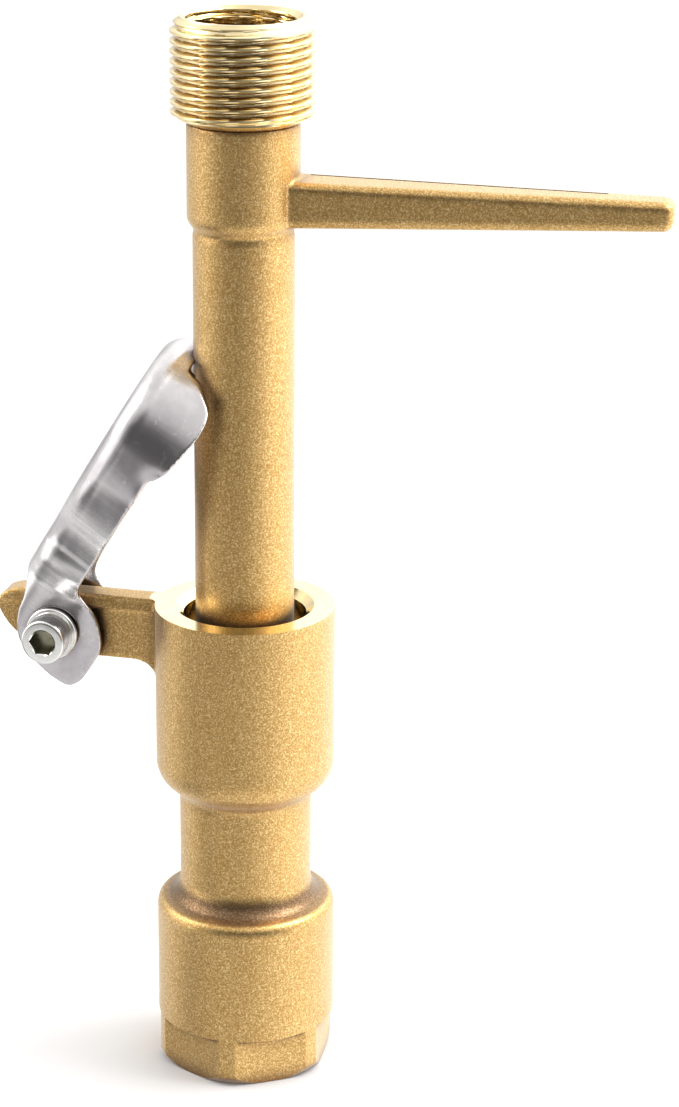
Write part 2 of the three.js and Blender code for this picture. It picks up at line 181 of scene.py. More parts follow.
def mesh_object(name, points, faces, material):
    """A new object from points in millimetres, with its faces turned outwards."""
    mesh = bpy.data.meshes.new(name)
    mesh.from_pydata([[c * MM for c in p] for p in points], [], faces)
    work = bmesh.new()
    work.from_mesh(mesh)
    bmesh.ops.remove_doubles(work, verts=work.verts, dist=1e-8)
    bmesh.ops.recalc_face_normals(work, faces=work.faces)
    work.to_mesh(mesh)
    work.free()
    made = bpy.data.objects.new(name, mesh)
    bpy.context.scene.collection.objects.link(made)
    made.data.materials.append(material)
    return made


def apply_modifiers(piece):
    bpy.context.view_layer.update()
    graph = bpy.context.evaluated_depsgraph_get()
    mesh = bpy.data.meshes.new_from_object(piece.evaluated_get(graph))
    piece.modifiers.clear()
    piece.data = mesh
    return piece


def combine(piece, other, operation):
    """Joins, cuts or crosses piece with other, which is used up. Cut faces keep other's finish."""
    step = piece.modifiers.new("combine", "BOOLEAN")
    step.operation = operation
    step.object = other
    step.solver = "EXACT"
    step.material_mode = "TRANSFER"
    apply_modifiers(piece)
    bpy.data.objects.remove(other)
    return piece


def cut(piece, *others):
    for other in others:
        combine(piece, other, "DIFFERENCE")
    return piece


def join(piece, *others):
    for other in others:
        combine(piece, other, "UNION")
    return piece


def melt(piece, voxel, rounds):
    """Runs the joins of a casting or the edges of a pressing into one soft skin."""
    skin = piece.modifiers.new("skin", "REMESH")
    skin.mode = "VOXEL"
    skin.voxel_size = voxel * MM
    soften = piece.modifiers.new("soften", "SMOOTH")
    soften.factor = 0.5
    soften.iterations = rounds
    return apply_modifiers(piece)


def shade(piece, degrees=35):
    """Smooth shading, with creases where faces meet at more than this angle."""
    mesh = piece.data
    mesh.shade_smooth()
    work = bmesh.new()
    work.from_mesh(mesh)
    limit = math.radians(degrees)
    for edge in work.edges:
        edge.smooth = len(edge.link_faces) == 2 and edge.calc_face_angle(0) < limit
    work.to_mesh(mesh)
    work.free()
    return piece


def moved(piece, matrix):
    """Moves a piece's mesh; the object itself stays at the origin."""
    shift = matrix.copy()
    shift.translation *= MM
    piece.data.transform(shift)
    return piece


def grid_faces(rows, columns):
    """Quads between rows of points that each close on themselves."""
    faces = []
    for i in range(rows - 1):
        for j in range(columns):
            k = (j + 1) % columns
            faces.append((i * columns + j, i * columns + k, (i + 1) * columns + k, (i + 1) * columns + j))
    return faces


def capped_faces(rows, columns):
    """The quads between the rows, and one flat face at each end."""
    last = (rows - 1) * columns
    return grid_faces(rows, columns) + [tuple(range(columns)), tuple(last + j for j in range(columns))]


def revolved(profile, around):
    points = []
    for r, z in profile:
        for j in range(around):
            angle = 2 * math.pi * j / around
            points.append((r * math.cos(angle), r * math.sin(angle), z))
    return points


def turned(name, profile, material, around=AROUND):
    """Revolves [radius, height] pairs about Z; both ends lie on the axis."""
    inner = [pair for pair in profile if pair[0] > 1e-6]
    return mesh_object(name, revolved(inner, around), capped_faces(len(inner), around), material)


def ring(name, profile, material, around=AROUND):
    """Revolves a closed loop of [radius, height] pairs about Z."""
    faces = grid_faces(len(profile), around)
    last = (len(profile) - 1) * around
    for j in range(around):
        k = (j + 1) % around
        faces.append((last + j, last + k, k, j))
    return mesh_object(name, revolved(profile, around), faces, material)


def rounded(corners, radius, steps=5):
    """The corners of an open profile, each but the first and last turned into a small arc."""
    out = [list(corners[0])]
    for before, here, after in zip(corners, corners[1:], corners[2:]):
        a, b, c = Vector(before), Vector(here), Vector(after)
        reach = min(radius, (a - b).length * 0.45, (c - b).length * 0.45)
        start = b + (a - b).normalized() * reach
        end = b + (c - b).normalized() * reach
        for i in range(steps + 1):
            t = i / steps
            out.append(list(start * (1 - t) ** 2 + b * 2 * t * (1 - t) + end * t**2))
    out.append(list(corners[-1]))
    return out


def thread_ridge(turn):
    """Height of a rounded pipe thread, 0 at the root and 1 at the crest, for a turn from 0 to 1."""
    height = 0.5 - 0.72 * math.cos(2 * math.pi * turn)
    return min(1.0, max(0.0, height))


def threaded(name, low, high, radius_at, pitch, depth, material, around=AROUND, rows_per_pitch=14):
    """A closed rod with a helical right-hand thread.

    radius_at(z) gives the root's radius and how much of the thread's depth shows.
    """
    rows = int((high - low) / pitch * rows_per_pitch) + 1
    points = []
    for i in range(rows + 1):
        z = low + (high - low) * i / rows
        root, share = radius_at(z)
        for j in range(around):
            part = j / around
            r = root + depth * share * thread_ridge((z / pitch - part) % 1)
            points.append((r * math.cos(2 * math.pi * part), r * math.sin(2 * math.pi * part), z))
    return mesh_object(name, points, capped_faces(rows + 1, around), material)


def prism(name, outline, low, high, material, axis="Y"):
    """An outline raised along an axis: X and Z for Y, X and Y for Z, Y and Z for X."""
    place = {
        "Y": lambda a, b, t: (a, t, b),
        "Z": lambda a, b, t: (a, b, t),
        "X": lambda a, b, t: (t, a, b),
    }[axis]
    points = [place(a, b, t) for t in (low, high) for a, b in outline]
    return mesh_object(name, points, capped_faces(2, len(outline)), material)


def rod(name, radius, low, high, material, axis="Z", around=64):
    outline = []
    for j in range(around):
        angle = 2 * math.pi * j / around
        outline.append((radius * math.cos(angle), radius * math.sin(angle)))
    return prism(name, outline, low, high, material, axis)


def hexagon(flat, turn=0.0):
    corner = flat / math.cos(math.radians(30))
    angles = [math.radians(60 * i) + turn for i in range(6)]
    return [(corner * math.cos(a), corner * math.sin(a)) for a in angles]


def curve(points, steps=6):
    """A smooth line through a few points (Catmull-Rom)."""
    last = len(points) - 1
    out = []
    for i in range(last):
        p = [Vector(points[min(max(k, 0), last)]) for k in (i - 1, i, i + 1, i + 2)]
        for s in range(steps):
            t = s / steps
            out.append(
                0.5
                * (
                    2 * p[1]
                    + (p[2] - p[0]) * t
                    + (2 * p[0] - 5 * p[1] + 4 * p[2] - p[3]) * t**2
                    + (3 * p[1] - p[0] - 3 * p[2] + p[3]) * t**3
                )
            )
    out.append(Vector(points[-1]))
    return [tuple(v) for v in out]


def ring_band(name, inner, outer, stations, material):
    """Part of a ring, through [angle in degrees, low, high] stations that go round Z."""
    points = []
    for angle, low, high in stations:
        c, s = math.cos(math.radians(angle)), math.sin(math.radians(angle))
        points += [(r * c, r * s, z) for r, z in ((inner, low), (outer, low), (outer, high), (inner, high))]
    faces = grid_faces(len(stations), 4)
    last = 4 * (len(stations) - 1)
    faces += [(0, 1, 2, 3), (last, last + 1, last + 2, last + 3)]
    return mesh_object(name, points, faces, material)


def sector(name, inner, outer, start, end, low, high, material):
    """Part of a flat ring, between two angles in degrees."""
    steps = max(2, int((end - start) / 4))
    stations = [(start + (end - start) * i / steps, low, high) for i in range(steps + 1)]
    return ring_band(name, inner, outer, stations, material)


# ---- material helpers ----


def add_node(tree, kind, inputs=None, **settings):
    """A new node; each input is a plain value or another node's output."""
    made = tree.nodes.new(kind)
    for key, value in settings.items():
        setattr(made, key, value)
    for key, value in (inputs or {}).items():
        if hasattr(value, "is_output"):
            tree.links.new(value, made.inputs[key])
        else:
            made.inputs[key].default_value = value
    return made


class Finish:
    """A Principled material with short ways to add the nodes that vary it."""

    def __init__(self, name, **values):
        self.material = bpy.data.materials.new(name)
        self.material.use_nodes = True
        self.tree = self.material.node_tree
        self.shader = self.tree.nodes["Principled BSDF"]
        for socket, value in values.items():
            self.shader.inputs[socket.replace("_", " ")].default_value = value
        self.place = self.tree.nodes.new("ShaderNodeTexCoord").outputs["Object"]

    def node(self, kind, inputs=None, **settings):
        return add_node(self.tree, kind, inputs, **settings)

    def noise(self, scale, detail=3.0, roughness=0.55, stretch=None):
        place = self.place
        if stretch:
            place = self.node("ShaderNodeMapping", {"Vector": place, "Scale": stretch}).outputs["Vector"]
        inputs = {"Vector": place, "Scale": scale, "Detail": detail, "Roughness": roughness}
        return self.node("ShaderNodeTexNoise", inputs).outputs["Fac"]

    def span(self, value, low, high, to_low=0.0, to_high=1.0):
        inputs = {"Value": value, "From Min": low, "From Max": high, "To Min": to_low, "To Max": to_high}
        return self.node("ShaderNodeMapRange", inputs).outputs["Result"]

    def math(self, operation, a, b):
        return self.node("ShaderNodeMath", {0: a, 1: b}, operation=operation).outputs[0]

    def mix(self, share, a, b):
        """Colour a at a share of 0, colour b at 1."""
        return self.node("ShaderNodeMix", {0: share, 6: a, 7: b}, data_type="RGBA").outputs[2]

    def bump(self, height, strength, distance, normal=None):
        inputs = {"Height": height, "Strength": strength, "Distance": distance * MM}
        if normal is not None:
            inputs["Normal"] = normal
        return self.node("ShaderNodeBump", inputs).outputs["Normal"]

    def hollows(self, distance):
        """1 in the open, falling towards 0 in corners and hollows."""
        made = self.node("ShaderNodeAmbientOcclusion", {"Distance": distance * MM}, samples=6)
        return made.outputs["AO"]

    def link(self, output, socket):
        self.tree.links.new(output, self.shader.inputs[socket])


def rgb(red, green, blue):
    return (red, green, blue, 1.0)


def painted_cove_and_ledge_shade(f):
    """Painted shade just under the ledges of the flats, and painted shade and dark reflection in the cove
    above the base.
    """
    part = f.node("ShaderNodeSeparateXYZ", {0: f.place})
    across = f.node("ShaderNodeCombineXYZ", {"X": part.outputs["X"], "Y": part.outputs["Y"]}).outputs[0]
    radius = f.node("ShaderNodeVectorMath", {0: across}, operation="LENGTH").outputs["Value"]
    height = part.outputs["Z"]

    def between(value, low, high, soft):
        rise = f.span(value, (low - soft) * MM, (low + soft) * MM)
        return f.math("MULTIPLY", rise, f.span(value, (high - soft) * MM, (high + soft) * MM, 1.0, 0.0))

    in_cove = between(height, BASE_TOP + 1.6, NECK_LOW - 1.0, 0.7)
    cove = f.math("MULTIPLY", in_cove, f.span(radius, 0.0164, 0.0158))
    under_ledge = between(height, HEX_TOP - 0.7, HEX_TOP + 0.1, 0.3)
    ledge = f.math("MULTIPLY", under_ledge, f.span(radius, 0.0170, 0.0166))
    return f.math("MAXIMUM", f.math("MULTIPLY", cove, 0.85), f.math("MULTIPLY", ledge, 0.8))


def cast_brass():
    """Sand-cast and shot-blasted: fine golden flecks on olive brown, broad drift, and painted shade that
    darkens the hollows, the cove and the ledges of the flats.
    """
    haze = {"Sheen_Weight": 0.6, "Sheen_Roughness": 0.42, "Sheen_Tint": rgb(1.0, 0.95, 0.85)}
    f = Finish("cast_brass", Metallic=1.0, **haze)
    grain = f.noise(3300, 5.0, 0.7)
    pits = f.noise(1500, 4.0, 0.65)
    drift = f.noise(60, 5.0, 0.65)
    warm = f.mix(f.span(drift, 0.35, 0.65), rgb(0.64, 0.41, 0.145), rgb(0.78, 0.525, 0.21))
    speck = f.mix(f.span(grain, 0.47, 0.62), rgb(0.46, 0.28, 0.095), rgb(1.0, 0.82, 0.48))
    blotch = f.mix(f.span(pits, 0.38, 0.56), rgb(0.50, 0.31, 0.115), warm)
    skin = f.mix(0.66, blotch, speck)
    # Painted shade: the skin darkens to dark brown in corners and hollows, where shade falls.
    wear_and_shade = f.mix(f.span(f.hollows(3.5), 0.46, 0.96), rgb(0.20, 0.105, 0.05), skin)
    # The dark, grainy colour painted as shade and dark reflection in the cove and under the ledges.
    painted_shade_tone = f.mix(f.span(grain, 0.45, 0.65), rgb(0.12, 0.075, 0.05), rgb(0.30, 0.20, 0.13))
    f.link(f.mix(painted_cove_and_ledge_shade(f), wear_and_shade, painted_shade_tone), "Base Color")
    rough = f.span(pits, 0.3, 0.7, 0.33, 0.46)
    f.link(f.math("ADD", rough, f.span(grain, 0.45, 0.7, 0.0, -0.08)), "Roughness")
    coarse = f.bump(pits, 0.45, 0.07)
    f.link(f.bump(grain, 0.65, 0.04, coarse), "Normal")
    return f.material


def machined_brass():
    """Turned brass: bright, with fine tool lines round the axis, and painted shade in its hollows."""
    f = Finish("machined_brass", Metallic=1.0)
    lines = f.noise(700, 2.0, 0.6, (0.04, 0.04, 6.0))
    drift = f.noise(70, 3.0, 0.5)
    bright = f.mix(f.span(drift, 0.35, 0.65), rgb(0.92, 0.76, 0.45), rgb(0.94, 0.83, 0.56))
    # Painted shade: the turned faces darken to dark brown in corners, hollows and thread grooves, where
    # shade falls.
    edge = f.span(f.hollows(1.2), 0.22, 0.78)
    f.link(f.mix(edge, rgb(0.22, 0.095, 0.014), bright), "Base Color")
    f.link(f.span(lines, 0.3, 0.7, 0.13, 0.20), "Roughness")
    f.link(f.bump(lines, 0.10, 0.02), "Normal")
    return f.material


def pressed_steel():
    """Drawn and tumbled stainless sheet: drawing lines, fine scratches, scuffs and a cool drift, with
    painted shade in its hollows.
    """
    f = Finish("pressed_steel", Metallic=1.0)
    turn = {"Vector": f.place, "Rotation": (0, -COVER_ANGLE, 0)}
    f.place = f.node("ShaderNodeMapping", turn, vector_type="TEXTURE").outputs["Vector"]
    drift = f.noise(70, 4.0, 0.6)
    lines = f.noise(700, 3.0, 0.6, (2.2, 0.2, 0.12))
    drawn = f.math("MULTIPLY", lines, f.span(drift, 0.40, 0.60, 0.55, 1.0))
    scratch = f.noise(500, 3.0, 0.7, (0.5, 1.0, 0.9))
    tone = f.mix(f.span(drift, 0.35, 0.65), rgb(0.56, 0.53, 0.545), rgb(0.75, 0.735, 0.74))
    wear_and_shade = f.mix(f.span(scratch, 0.60, 0.80), tone, rgb(0.80, 0.79, 0.79))
    # Painted shade: the sheet darkens to dark grey in corners and hollows, where shade falls.
    edge = f.span(f.hollows(2.5), 0.3, 0.9)
    f.link(f.mix(edge, rgb(0.22, 0.19, 0.20), wear_and_shade), "Base Color")
    f.link(f.span(drawn, 0.3, 0.7, 0.20, 0.33), "Roughness")
    f.link(f.bump(scratch, 0.14, 0.03, f.bump(drawn, 0.42, 0.02)), "Normal")
    return f.material


def drifting(name, metallic, drift_scale, colours, roughness, grain_scale, strength):
    """An even finish whose colour and roughness drift together, over a fine grain."""
    f = Finish(name, Metallic=metallic)
    drift = f.noise(drift_scale, 3.0, 0.6)
    f.link(f.mix(f.span(drift, 0.35, 0.65), *colours), "Base Color")
    f.link(f.span(drift, 0.3, 0.7, *roughness), "Roughness")
    f.link(f.bump(f.noise(grain_scale, 2.0, 0.6), strength, 0.02), "Normal")
    return f.material


def plated_steel():
    """Bright-plated fasteners."""
    colours = rgb(0.80, 0.79, 0.77), rgb(0.90, 0.895, 0.88)
    return drifting("plated_steel", 1.0, 240, colours, (0.15, 0.26), 1500, 0.12)


def painted_recess_shade():
    """The screw's socket, painted dark for the shade inside the recess."""
    colours = rgb(0.26, 0.25, 0.18), rgb(0.50, 0.48, 0.38)
    return drifting("painted_recess_shade", 1.0, 400, colours, (0.22, 0.40), 1500, 0.12)


def spring_steel():
    colours = rgb(0.36, 0.35, 0.34), rgb(0.52, 0.51, 0.50)
    return drifting("spring_steel", 1.0, 300, colours, (0.28, 0.42), 2200, 0.15)


def moulded_rubber():
    colours = rgb(0.012, 0.012, 0.013), rgb(0.028, 0.027, 0.027)
    return drifting("moulded_rubber", 0.0, 180, colours, (0.50, 0.68), 2500, 0.2)


CAST = cast_brass()
MACHINED = machined_brass()
PRESSED = pressed_steel()
PLATED = plated_steel()
RECESS = painted_recess_shade()
SPRING = spring_steel()
RUBBER = moulded_rubber()


# ---- valve body ----


def body_casting():
    shoulder = curve(
        [
            (BASE_R, BASE_TOP - 1.2), (BASE_R, BASE_TOP), (16.9, 32.7), (16.4, 33.4), (15.6, 33.7),
            (14.6, 34), (13.6, 34.9), (12.9, 36.2), (NECK_R, NECK_LOW), (NECK_R, NECK_LOW + 1.5),
        ]
    )
    collar = curve(
        [
            (NECK_R, NECK_HIGH), (12.9, 55.7), (13.8, 56.7), (15.2, 57.8), (16.3, 59.2), (16.9, 61),
            (COLLAR_R, 62.3), (COLLAR_R, 64),
        ]
    )
    top = BODY_TOP + 0.8
    profile = [(0, 0), (BASE_R - 1.4, 0), (BASE_R, 1.6), *shoulder, *collar, (COLLAR_R, top), (0, top)]
    return turned("valve_body_fine", profile, CAST)


def foot_cutter():
    """Everything outside the six flats at the foot of the body."""
    outer = rod("foot_cutter", BASE_R + 4, -1, HEX_TOP, CAST, around=96)
    flats = prism("foot_flats", hexagon(HEX_FLAT, HEX_TURN), -2, HEX_TOP + 1, CAST, "Z")
    return cut(outer, flats)


def arm():
    nose = curve(
        [
            (ARM_END + 4, BODY_TOP), (ARM_END + 1, BODY_TOP - 1.1), (ARM_END, BODY_TOP - 3.4),
            (ARM_END + 1.4, BODY_TOP - 6.4), (ARM_END + 3.6, BODY_TOP - 8.8), (ARM_END + 8.4, ARM_BOTTOM),
        ]
    )
    fillet = curve(
        [(-21, ARM_BOTTOM), (-18.4, ARM_BOTTOM - 0.9), (-16.8, ARM_BOTTOM - 3), (-16.2, ARM_BOTTOM - 5.5)]
    )
    side = [(-13, BODY_TOP), *nose, *fillet, (-13, ARM_BOTTOM - 5.5)]
    shoulder = BODY_TOP - RAIL_DEPTH
    half = [
        (RAIL_TOP_HALF, BODY_TOP), (RAIL_HALF, shoulder), (WEB_HALF, shoulder - 0.4),
        (WEB_HALF, ARM_BOTTOM - 8),
    ]
    section = half + [(-y, z) for y, z in reversed(half)]
    bar = prism("arm", side, -RAIL_HALF - 1, RAIL_HALF + 1, CAST)
    combine(bar, prism("arm_section", section, -60, -10, CAST, "X"), "INTERSECT")
    boss = rod("boss", BOSS_R, -BOSS_HALF, BOSS_HALF, CAST, "Y")
    return join(bar, moved(boss, AT_PIVOT))


def body_bore():
    profile = [
        (0, INLET_DEPTH - 0.5), (CLIP_BORE_R, INLET_DEPTH - 0.5), (CLIP_BORE_R, 16.3),
        (CLIP_GROOVE_R, 16.3), (CLIP_GROOVE_R, 17.7), (CLIP_BORE_R, 17.7), (CLIP_BORE_R, 20.6),
        (CHAMBER_R, 22), (CHAMBER_R, 30),
        (11.8, SEAT_Z + 0.6), (10.2, SEAT_Z + 0.6), (9.9, SEAT_Z), (SEAT_R, SEAT_Z), (SEAT_R, 38),
        (GUIDE_R, 39.5), (GUIDE_R, MOUTH_FLOOR - 1), (GUIDE_R + 1, MOUTH_FLOOR), (MOUTH_R, MOUTH_FLOOR),
        (MOUTH_R, BODY_TOP - MOUTH_CHAMFER), (MOUTH_R + MOUTH_CHAMFER, BODY_TOP),
        (MOUTH_R + MOUTH_CHAMFER + 2, BODY_TOP + 2), (0, BODY_TOP + 2),
    ]
    return turned("bore", profile, MACHINED)


def inlet_cutter():
    def radius_at(z):
        entry = max(0.0, 1.4 - z)
        return INLET_R + min(entry, 1.4), 1.0 if z < INLET_DEPTH - 1.5 else 0.4

    return threaded("inlet_cutter", -1, INLET_DEPTH, radius_at, PITCH, THREAD_DEPTH, MACHINED)


def lug_ways():
    """The rising grooves that the key's two lugs run in, each with its entry slot at the top end."""
    half, way_r = LUG_HALF + 3, LUG_R + LUG_PLAY
    slot = LUG_HIGH + LUG_RISE - 1, MOUTH_FLOOR + 1
    ways = []
    for start in (95, 275):  # where the middles of the lugs are at rest
        stations = []
        for angle in range(-half, LUG_TURN + half + 1, 5):
            low = LUG_LOW - LUG_PLAY + LUG_RISE * min(1, max(0, (angle - half) / LUG_TURN))
            high = LUG_HIGH + LUG_PLAY + LUG_RISE * min(1, max(0, (angle + half) / LUG_TURN))
            stations.append((start + angle, low, high))
        ways.append(ring_band("lug_way", GUIDE_R - 1, way_r, stations, MACHINED))
        entry = start + LUG_TURN
        ways.append(sector("lug_slot", GUIDE_R - 1, way_r, entry - half, entry + half, *slot, MACHINED))
    return ways


def valve_body():
    casting = melt(join(body_casting(), arm()), CAST_VOXEL, 4)
    facing = rod("facing", COLLAR_R + 1.5, BODY_TOP, BODY_TOP + 3, MACHINED, around=96)
    hole = moved(rod("hole", SCREW_R + 0.25, -9, 9, MACHINED, "Y"), AT_PIVOT)
    cut(casting, foot_cutter(), facing, body_bore(), inlet_cutter(), *lug_ways(), hole)
    return shade(casting, 20)


# ---- inside the valve ----


def spring_guide():
    low, high = node_box("spring_guide")
    rim = [(10.2, low.z), (12.1, low.z), (12.1, high.z), (10.2, high.z)]
    guide = ring("spring_guide_fine", rim, MACHINED)
    join(guide, rod("hub", 7, low.z, high.z, MACHINED))
    for angle in (0, 60, 120):
        bar = prism("spoke", [(-11, -1.2), (11, -1.2), (11, 1.2), (-11, 1.2)], low.z, high.z, MACHINED, "Z")
        join(guide, moved(bar, Matrix.Rotation(math.radians(angle), 4, "Z")))
    cut(guide, rod("stem_hole", 2.7, low.z - 1, high.z + 1, MACHINED))
    return shade(melt(guide, 0.16, 2), 50)


def retaining_ring():
    low, high = node_box("guide_retaining_ring")
    clip = sector("guide_retaining_ring_fine", 11.4, 13.1, 108, 432, low.z, high.z, PLATED)
    for angle in (math.radians(72), math.radians(108)):
        place = Matrix.Translation((10.7 * math.cos(angle), 10.7 * math.sin(angle), 0))
        join(clip, moved(rod("ear", 1.7, low.z, high.z, PLATED), place))
        cut(clip, moved(rod("ear_hole", 0.8, low.z - 1, high.z + 1, PLATED), place))
    return shade(melt(clip, 0.12, 2), 50)


def poppet_stem():
    low, high = node_box("poppet_stem")
    corners = [
        (0, low.z), (STEM_R, low.z), (STEM_R, POPPET_LOW), (POPPET_R, POPPET_LOW), (POPPET_R, 27.2),
        (4, 27.2), (4, high.z), (0, high.z),
    ]
    return shade(turned("poppet_stem_fine", rounded(corners, 0.4), MACHINED))


def poppet_seal():
    low, high = node_box("poppet_seal")
    outline = [
        (4.1, low.z), (POPPET_R - 0.4, low.z), (POPPET_R, low.z + 0.4), (POPPET_R, high.z - 0.4),
        (POPPET_R - 0.4, high.z), (4.1, high.z),
    ]
    return shade(ring("poppet_seal_fine", outline, RUBBER))


def poppet_cap():
    low, high = node_box("poppet_cap")
    outline = [
        (0, 31.2), (4.1, 31.2), (4.1, low.z), (7.2, low.z), (7.6, low.z + 0.4), (7.6, high.z - 0.5),
        (7.1, high.z), (0, high.z),
    ]
    return shade(turned("poppet_cap_fine", outline, MACHINED))


def return_spring():
    low, high = node_box("return_spring")
    wire, around, steps = SPRING_WIRE_R, 12, 220
    points = []
    for i in range(steps + 1):
        angle = 2 * math.pi * SPRING_TURNS * i / steps
        z = low.z + wire + (high.z - low.z - 2 * wire) * i / steps
        out = Vector((math.cos(angle), math.sin(angle), 0))
        for j in range(around):
            a = 2 * math.pi * j / around
            up = Vector((0, 0, z + wire * math.sin(a)))
            points.append(tuple(out * (SPRING_R + wire * math.cos(a)) + up))
    return shade(mesh_object("return_spring_fine", points, capped_faces(steps + 1, around), SPRING), 60)


# ---- cover and its hinge ----

COVER_PLACE = AT_PIVOT @ Matrix.Rotation(-COVER_ANGLE, 4, "Y")
PRESSING_PLACE = COVER_PLACE @ Matrix.Rotation(COVER_TILT, 4, "X")


def cover_plan(inset, lean):
    """The pressing seen from above: cheeks, channel arm and round cap, shrunk by inset.

    lean moves the walls in further, except at the cheeks.
    """
    side = [
        (6, CHEEK), (8, CHEEK + 0.2), (10.2, CHEEK + 1.4), (12.4, FLANGE - 0.9), (15, FLANGE),
        (18, FLANGE + 0.4), (22, 12.3), (26, 15.2), (30.5, 17.7), (35, 18.9), (39.5, CAP_R),
        (CAP_CENTRE, CAP_R),
    ]
    smooth = [(x, y - inset - lean * min(1.0, max(0.0, (x - 9) / 7))) for x, y in curve(side, 5)]
    tip = []
    for i in range(1, 60):
        angle = math.radians(90 - 3 * i)
        r = CAP_R - inset - lean
        tip.append((CAP_CENTRE + r * math.cos(angle), r * math.sin(angle)))
    half = [(-MARGIN, CHEEK - inset), *smooth]
    return half + tip + [(x, -y) for x, y in reversed(half)]


def cover_block(name, wall, top, bend):
    """A solid of the plan with a rounded top edge; wall is how far it lies inside the pressing."""
    straight, steps = -3, 8
    rings = [(-MARGIN, 0.0), (straight, 0.0)]
    for i in range(steps + 1):
        angle = math.radians(90 * i / steps)
        rings.append((top - bend + bend * math.sin(angle), bend * (1 - math.cos(angle))))
    points, count = [], 0
    for z, inset in rings:
        outline = cover_plan(wall + inset, DRAFT * max(0.0, min(z, COVER_TOP - BEND) - straight))
        count = len(outline)
        points += [(x, y, z) for x, y in outline]
    return mesh_object(name, points, capped_faces(len(rings), count), PRESSED)


def cover_side():
    """What is left of the pressing, seen from the side: cheeks, flange, lobes and tip."""
    lobe = curve(
        [
            (60.2, 4.9), (59.9, 1.9), (59.3, 0.2), (58.2, -1.9), (56.7, -2.9), (54, -3.1), (50.8, -2.7),
            (46, -1.8), (43.2, -0.7), (42, 0.2), (40, 0.4),
        ]
    )
    cheek = curve(
        [
            (14, 0.8), (11.3, 0.6), (9.4, -0.2), (8.4, -2), (7.6, -4), (6.2, -5.9), (4.3, -7.6),
            (2.6, -8.7), (0.5, -9.2), (-4.9, -9.1), (-6.9, -8.5), (-8.3, -7.1), (-8.4, -3.6), (-7.7, -0.1),
            (-7, 2.6), (-5.7, 4.8), (-3.5, 6.8), (-0.3, 8.3), (2.5, 8.8), (4.8, 9.7), (6.8, 10.8),
            (8.6, 12.4),
        ]
    )
    return [(8.6, 13), (66, 13), (66, 4.9), *lobe, *cheek]


def dent(piece, x, z, spread, depth):
    """Presses both side walls of the cover inwards a little around a point of its side view."""
    for vertex in piece.data.vertices:
        across = vertex.co.y / MM
        away = Vector((vertex.co.x / MM - x, vertex.co.z / MM - z)).length / spread
        share = math.exp(-away * away) * min(1.0, abs(across) / 6)
        vertex.co.y -= math.copysign(depth * share, across) * MM


def cover():
    shell = cover_block("cover_fine", 0.0, COVER_TOP, BEND)
    cut(shell, cover_block("hollow", SHEET, COVER_TOP - SHEET, BEND - SHEET))
    combine(shell, prism("cover_side", cover_side(), -30, 30, PRESSED), "INTERSECT")
    hole = rod("cheek_hole", SCREW_R + 0.25, -9, 9, PRESSED, "Y")
    cut(shell, moved(hole, Matrix.Rotation(-COVER_TILT, 4, "X")))
    notch = rod("notch", TUBE_R + 0.45, -80, 120, PRESSED, around=96)
    cut(shell, moved(notch, PRESSING_PLACE.inverted()))
    melt(shell, SHEET_VOXEL, 13)
    dent(shell, 42, -1.2, 2.6, 0.7)
    dent(shell, 32, 1.5, 4.5, 0.3)
    return shade(moved(shell, PRESSING_PLACE), 60)


def cross(piece):
    """Turns a piece made along Z so that it runs along -Y, then puts it at the hinge."""
    return moved(piece, COVER_PLACE @ Matrix.Rotation(math.pi / 2, 4, "X"))


def hinge_screw():
    under = CHEEK + CHEEK_PLAY + 0.1 + WASHER_T
    head = rounded([(0, under), (HEAD_R, under), (HEAD_R, under + HEAD_H), (0, under + HEAD_H)], 0.55, 5)
    screw = turned("hinge_screw_fine", head, PLATED, 96)
    face = under + HEAD_H
    # The socket's walls take the finish painted dark for the shade inside the recess.
    cut(screw, prism("socket", hexagon(SOCKET_FLAT), face - 2.6, face + 1, RECESS, "Z"))
    corner = SOCKET_FLAT / math.cos(math.radians(30))
    entry = [(0, face - 0.3), (corner - 0.35, face - 0.3), (corner + 0.15, face + 0.2), (0, face + 0.2)]
    cut(screw, turned("socket_entry", entry, PLATED, 64))

    low = -under - NUT_H - 1

    def radius_at(z):
        return SCREW_R - 0.45 - max(0.0, 0.5 - (z - low)), 1.0 if z < -2 else 0.0

    shank = threaded("shank", low, under + 1, radius_at, SCREW_PITCH, 0.45, PLATED, 48, 10)
    return shade(cross(join(screw, shank)), 40)


def washer(name, side):
    near, far = side * (CHEEK + CHEEK_PLAY), side * (CHEEK + CHEEK_PLAY + WASHER_T)
    low, high = min(near, far), max(near, far)
    edge = 0.18
    outline = [
        (SCREW_R + 0.15, low), (WASHER_R - edge, low), (WASHER_R, low + edge), (WASHER_R, high - edge),
        (WASHER_R - edge, high), (SCREW_R + 0.15, high),
    ]
    return shade(cross(ring(name, outline, PLATED, 72)))


def hinge_nut():
    near = -(CHEEK + CHEEK_PLAY + 0.1 + WASHER_T)
    nut = prism("hinge_nut_fine", hexagon(NUT_FLAT), near - NUT_H + 1.2, near, PLATED, "Z")
    corner = NUT_FLAT / math.cos(math.radians(30))
    dome = [
        (0, near - NUT_H + 1.2), (NUT_FLAT - 0.1, near - NUT_H + 1.2), (corner, near - NUT_H + 1.8),
        (corner, near - 0.5), (NUT_FLAT, near), (0, near),
    ]
    combine(nut, turned("nut_dome", dome, PLATED, 72), "INTERSECT")
    collar = rounded([(0, near - NUT_H), (3.6, near - NUT_H), (3.6, near - 2), (0, near - 2)], 0.5, 5)
    join(nut, turned("nut_collar", collar, PLATED, 64))
    cut(nut, rod("nut_bore", SCREW_R + 0.1, near - NUT_H - 1, near + 1, PLATED))
    return shade(cross(nut), 40)


# ---- key ----


